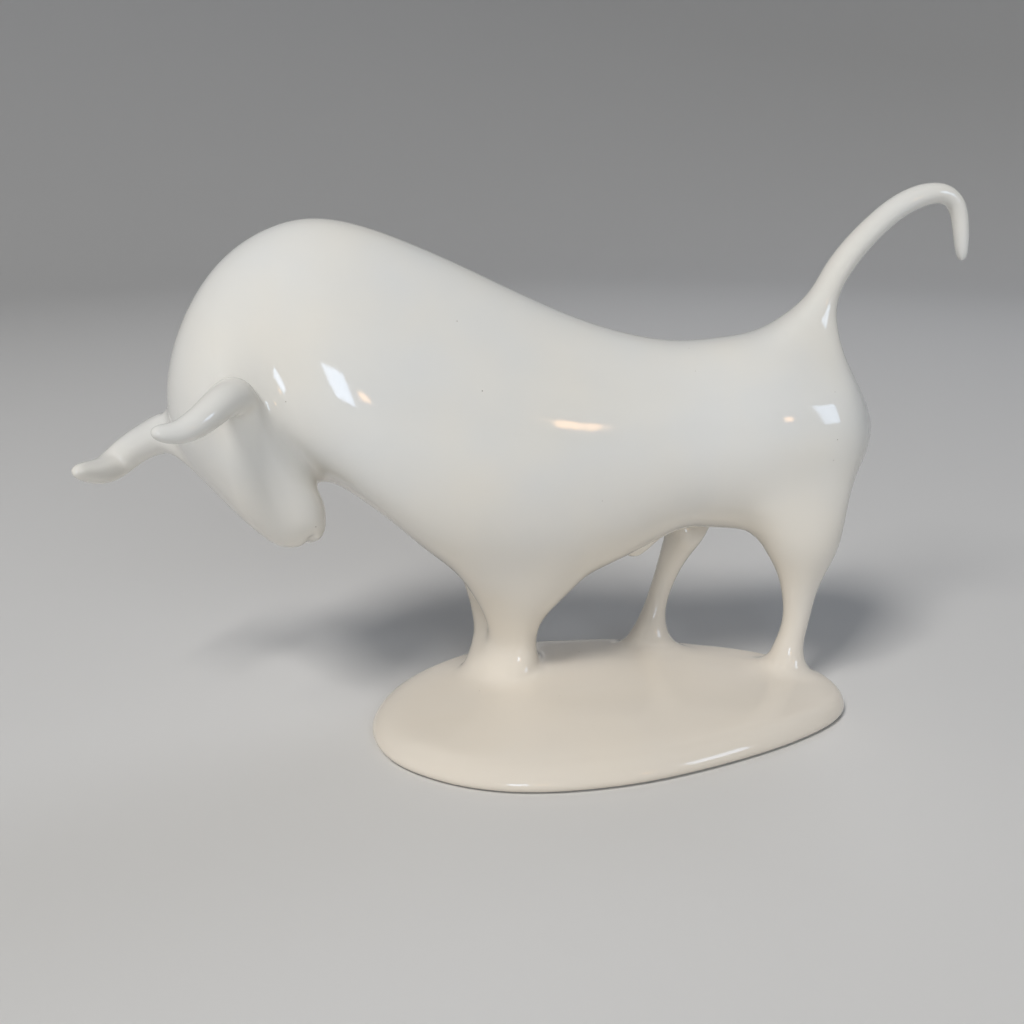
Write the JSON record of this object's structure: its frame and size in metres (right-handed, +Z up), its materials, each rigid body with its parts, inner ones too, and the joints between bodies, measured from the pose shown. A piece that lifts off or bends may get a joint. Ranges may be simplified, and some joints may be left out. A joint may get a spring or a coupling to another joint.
{
  "type": "bull sculpture",
  "caption": "Stylised standing bull with a lowered, turned head and a raised, hooked tail, cast in one piece with a low domed base.",
  "frame": {"origin": "on the flat underside, in the middle of the base", "axes": "+Z up, the bull faces -X, its left side is towards -Y"},
  "size_m": [0.3172, 0.1064, 0.1911],
  "materials": {
    "white_glaze": "glossy white porcelain glaze"
  },
  "bodies": {
    "root": {"bull_sculpture": "white_glaze"}
  },
  "joints": []
}
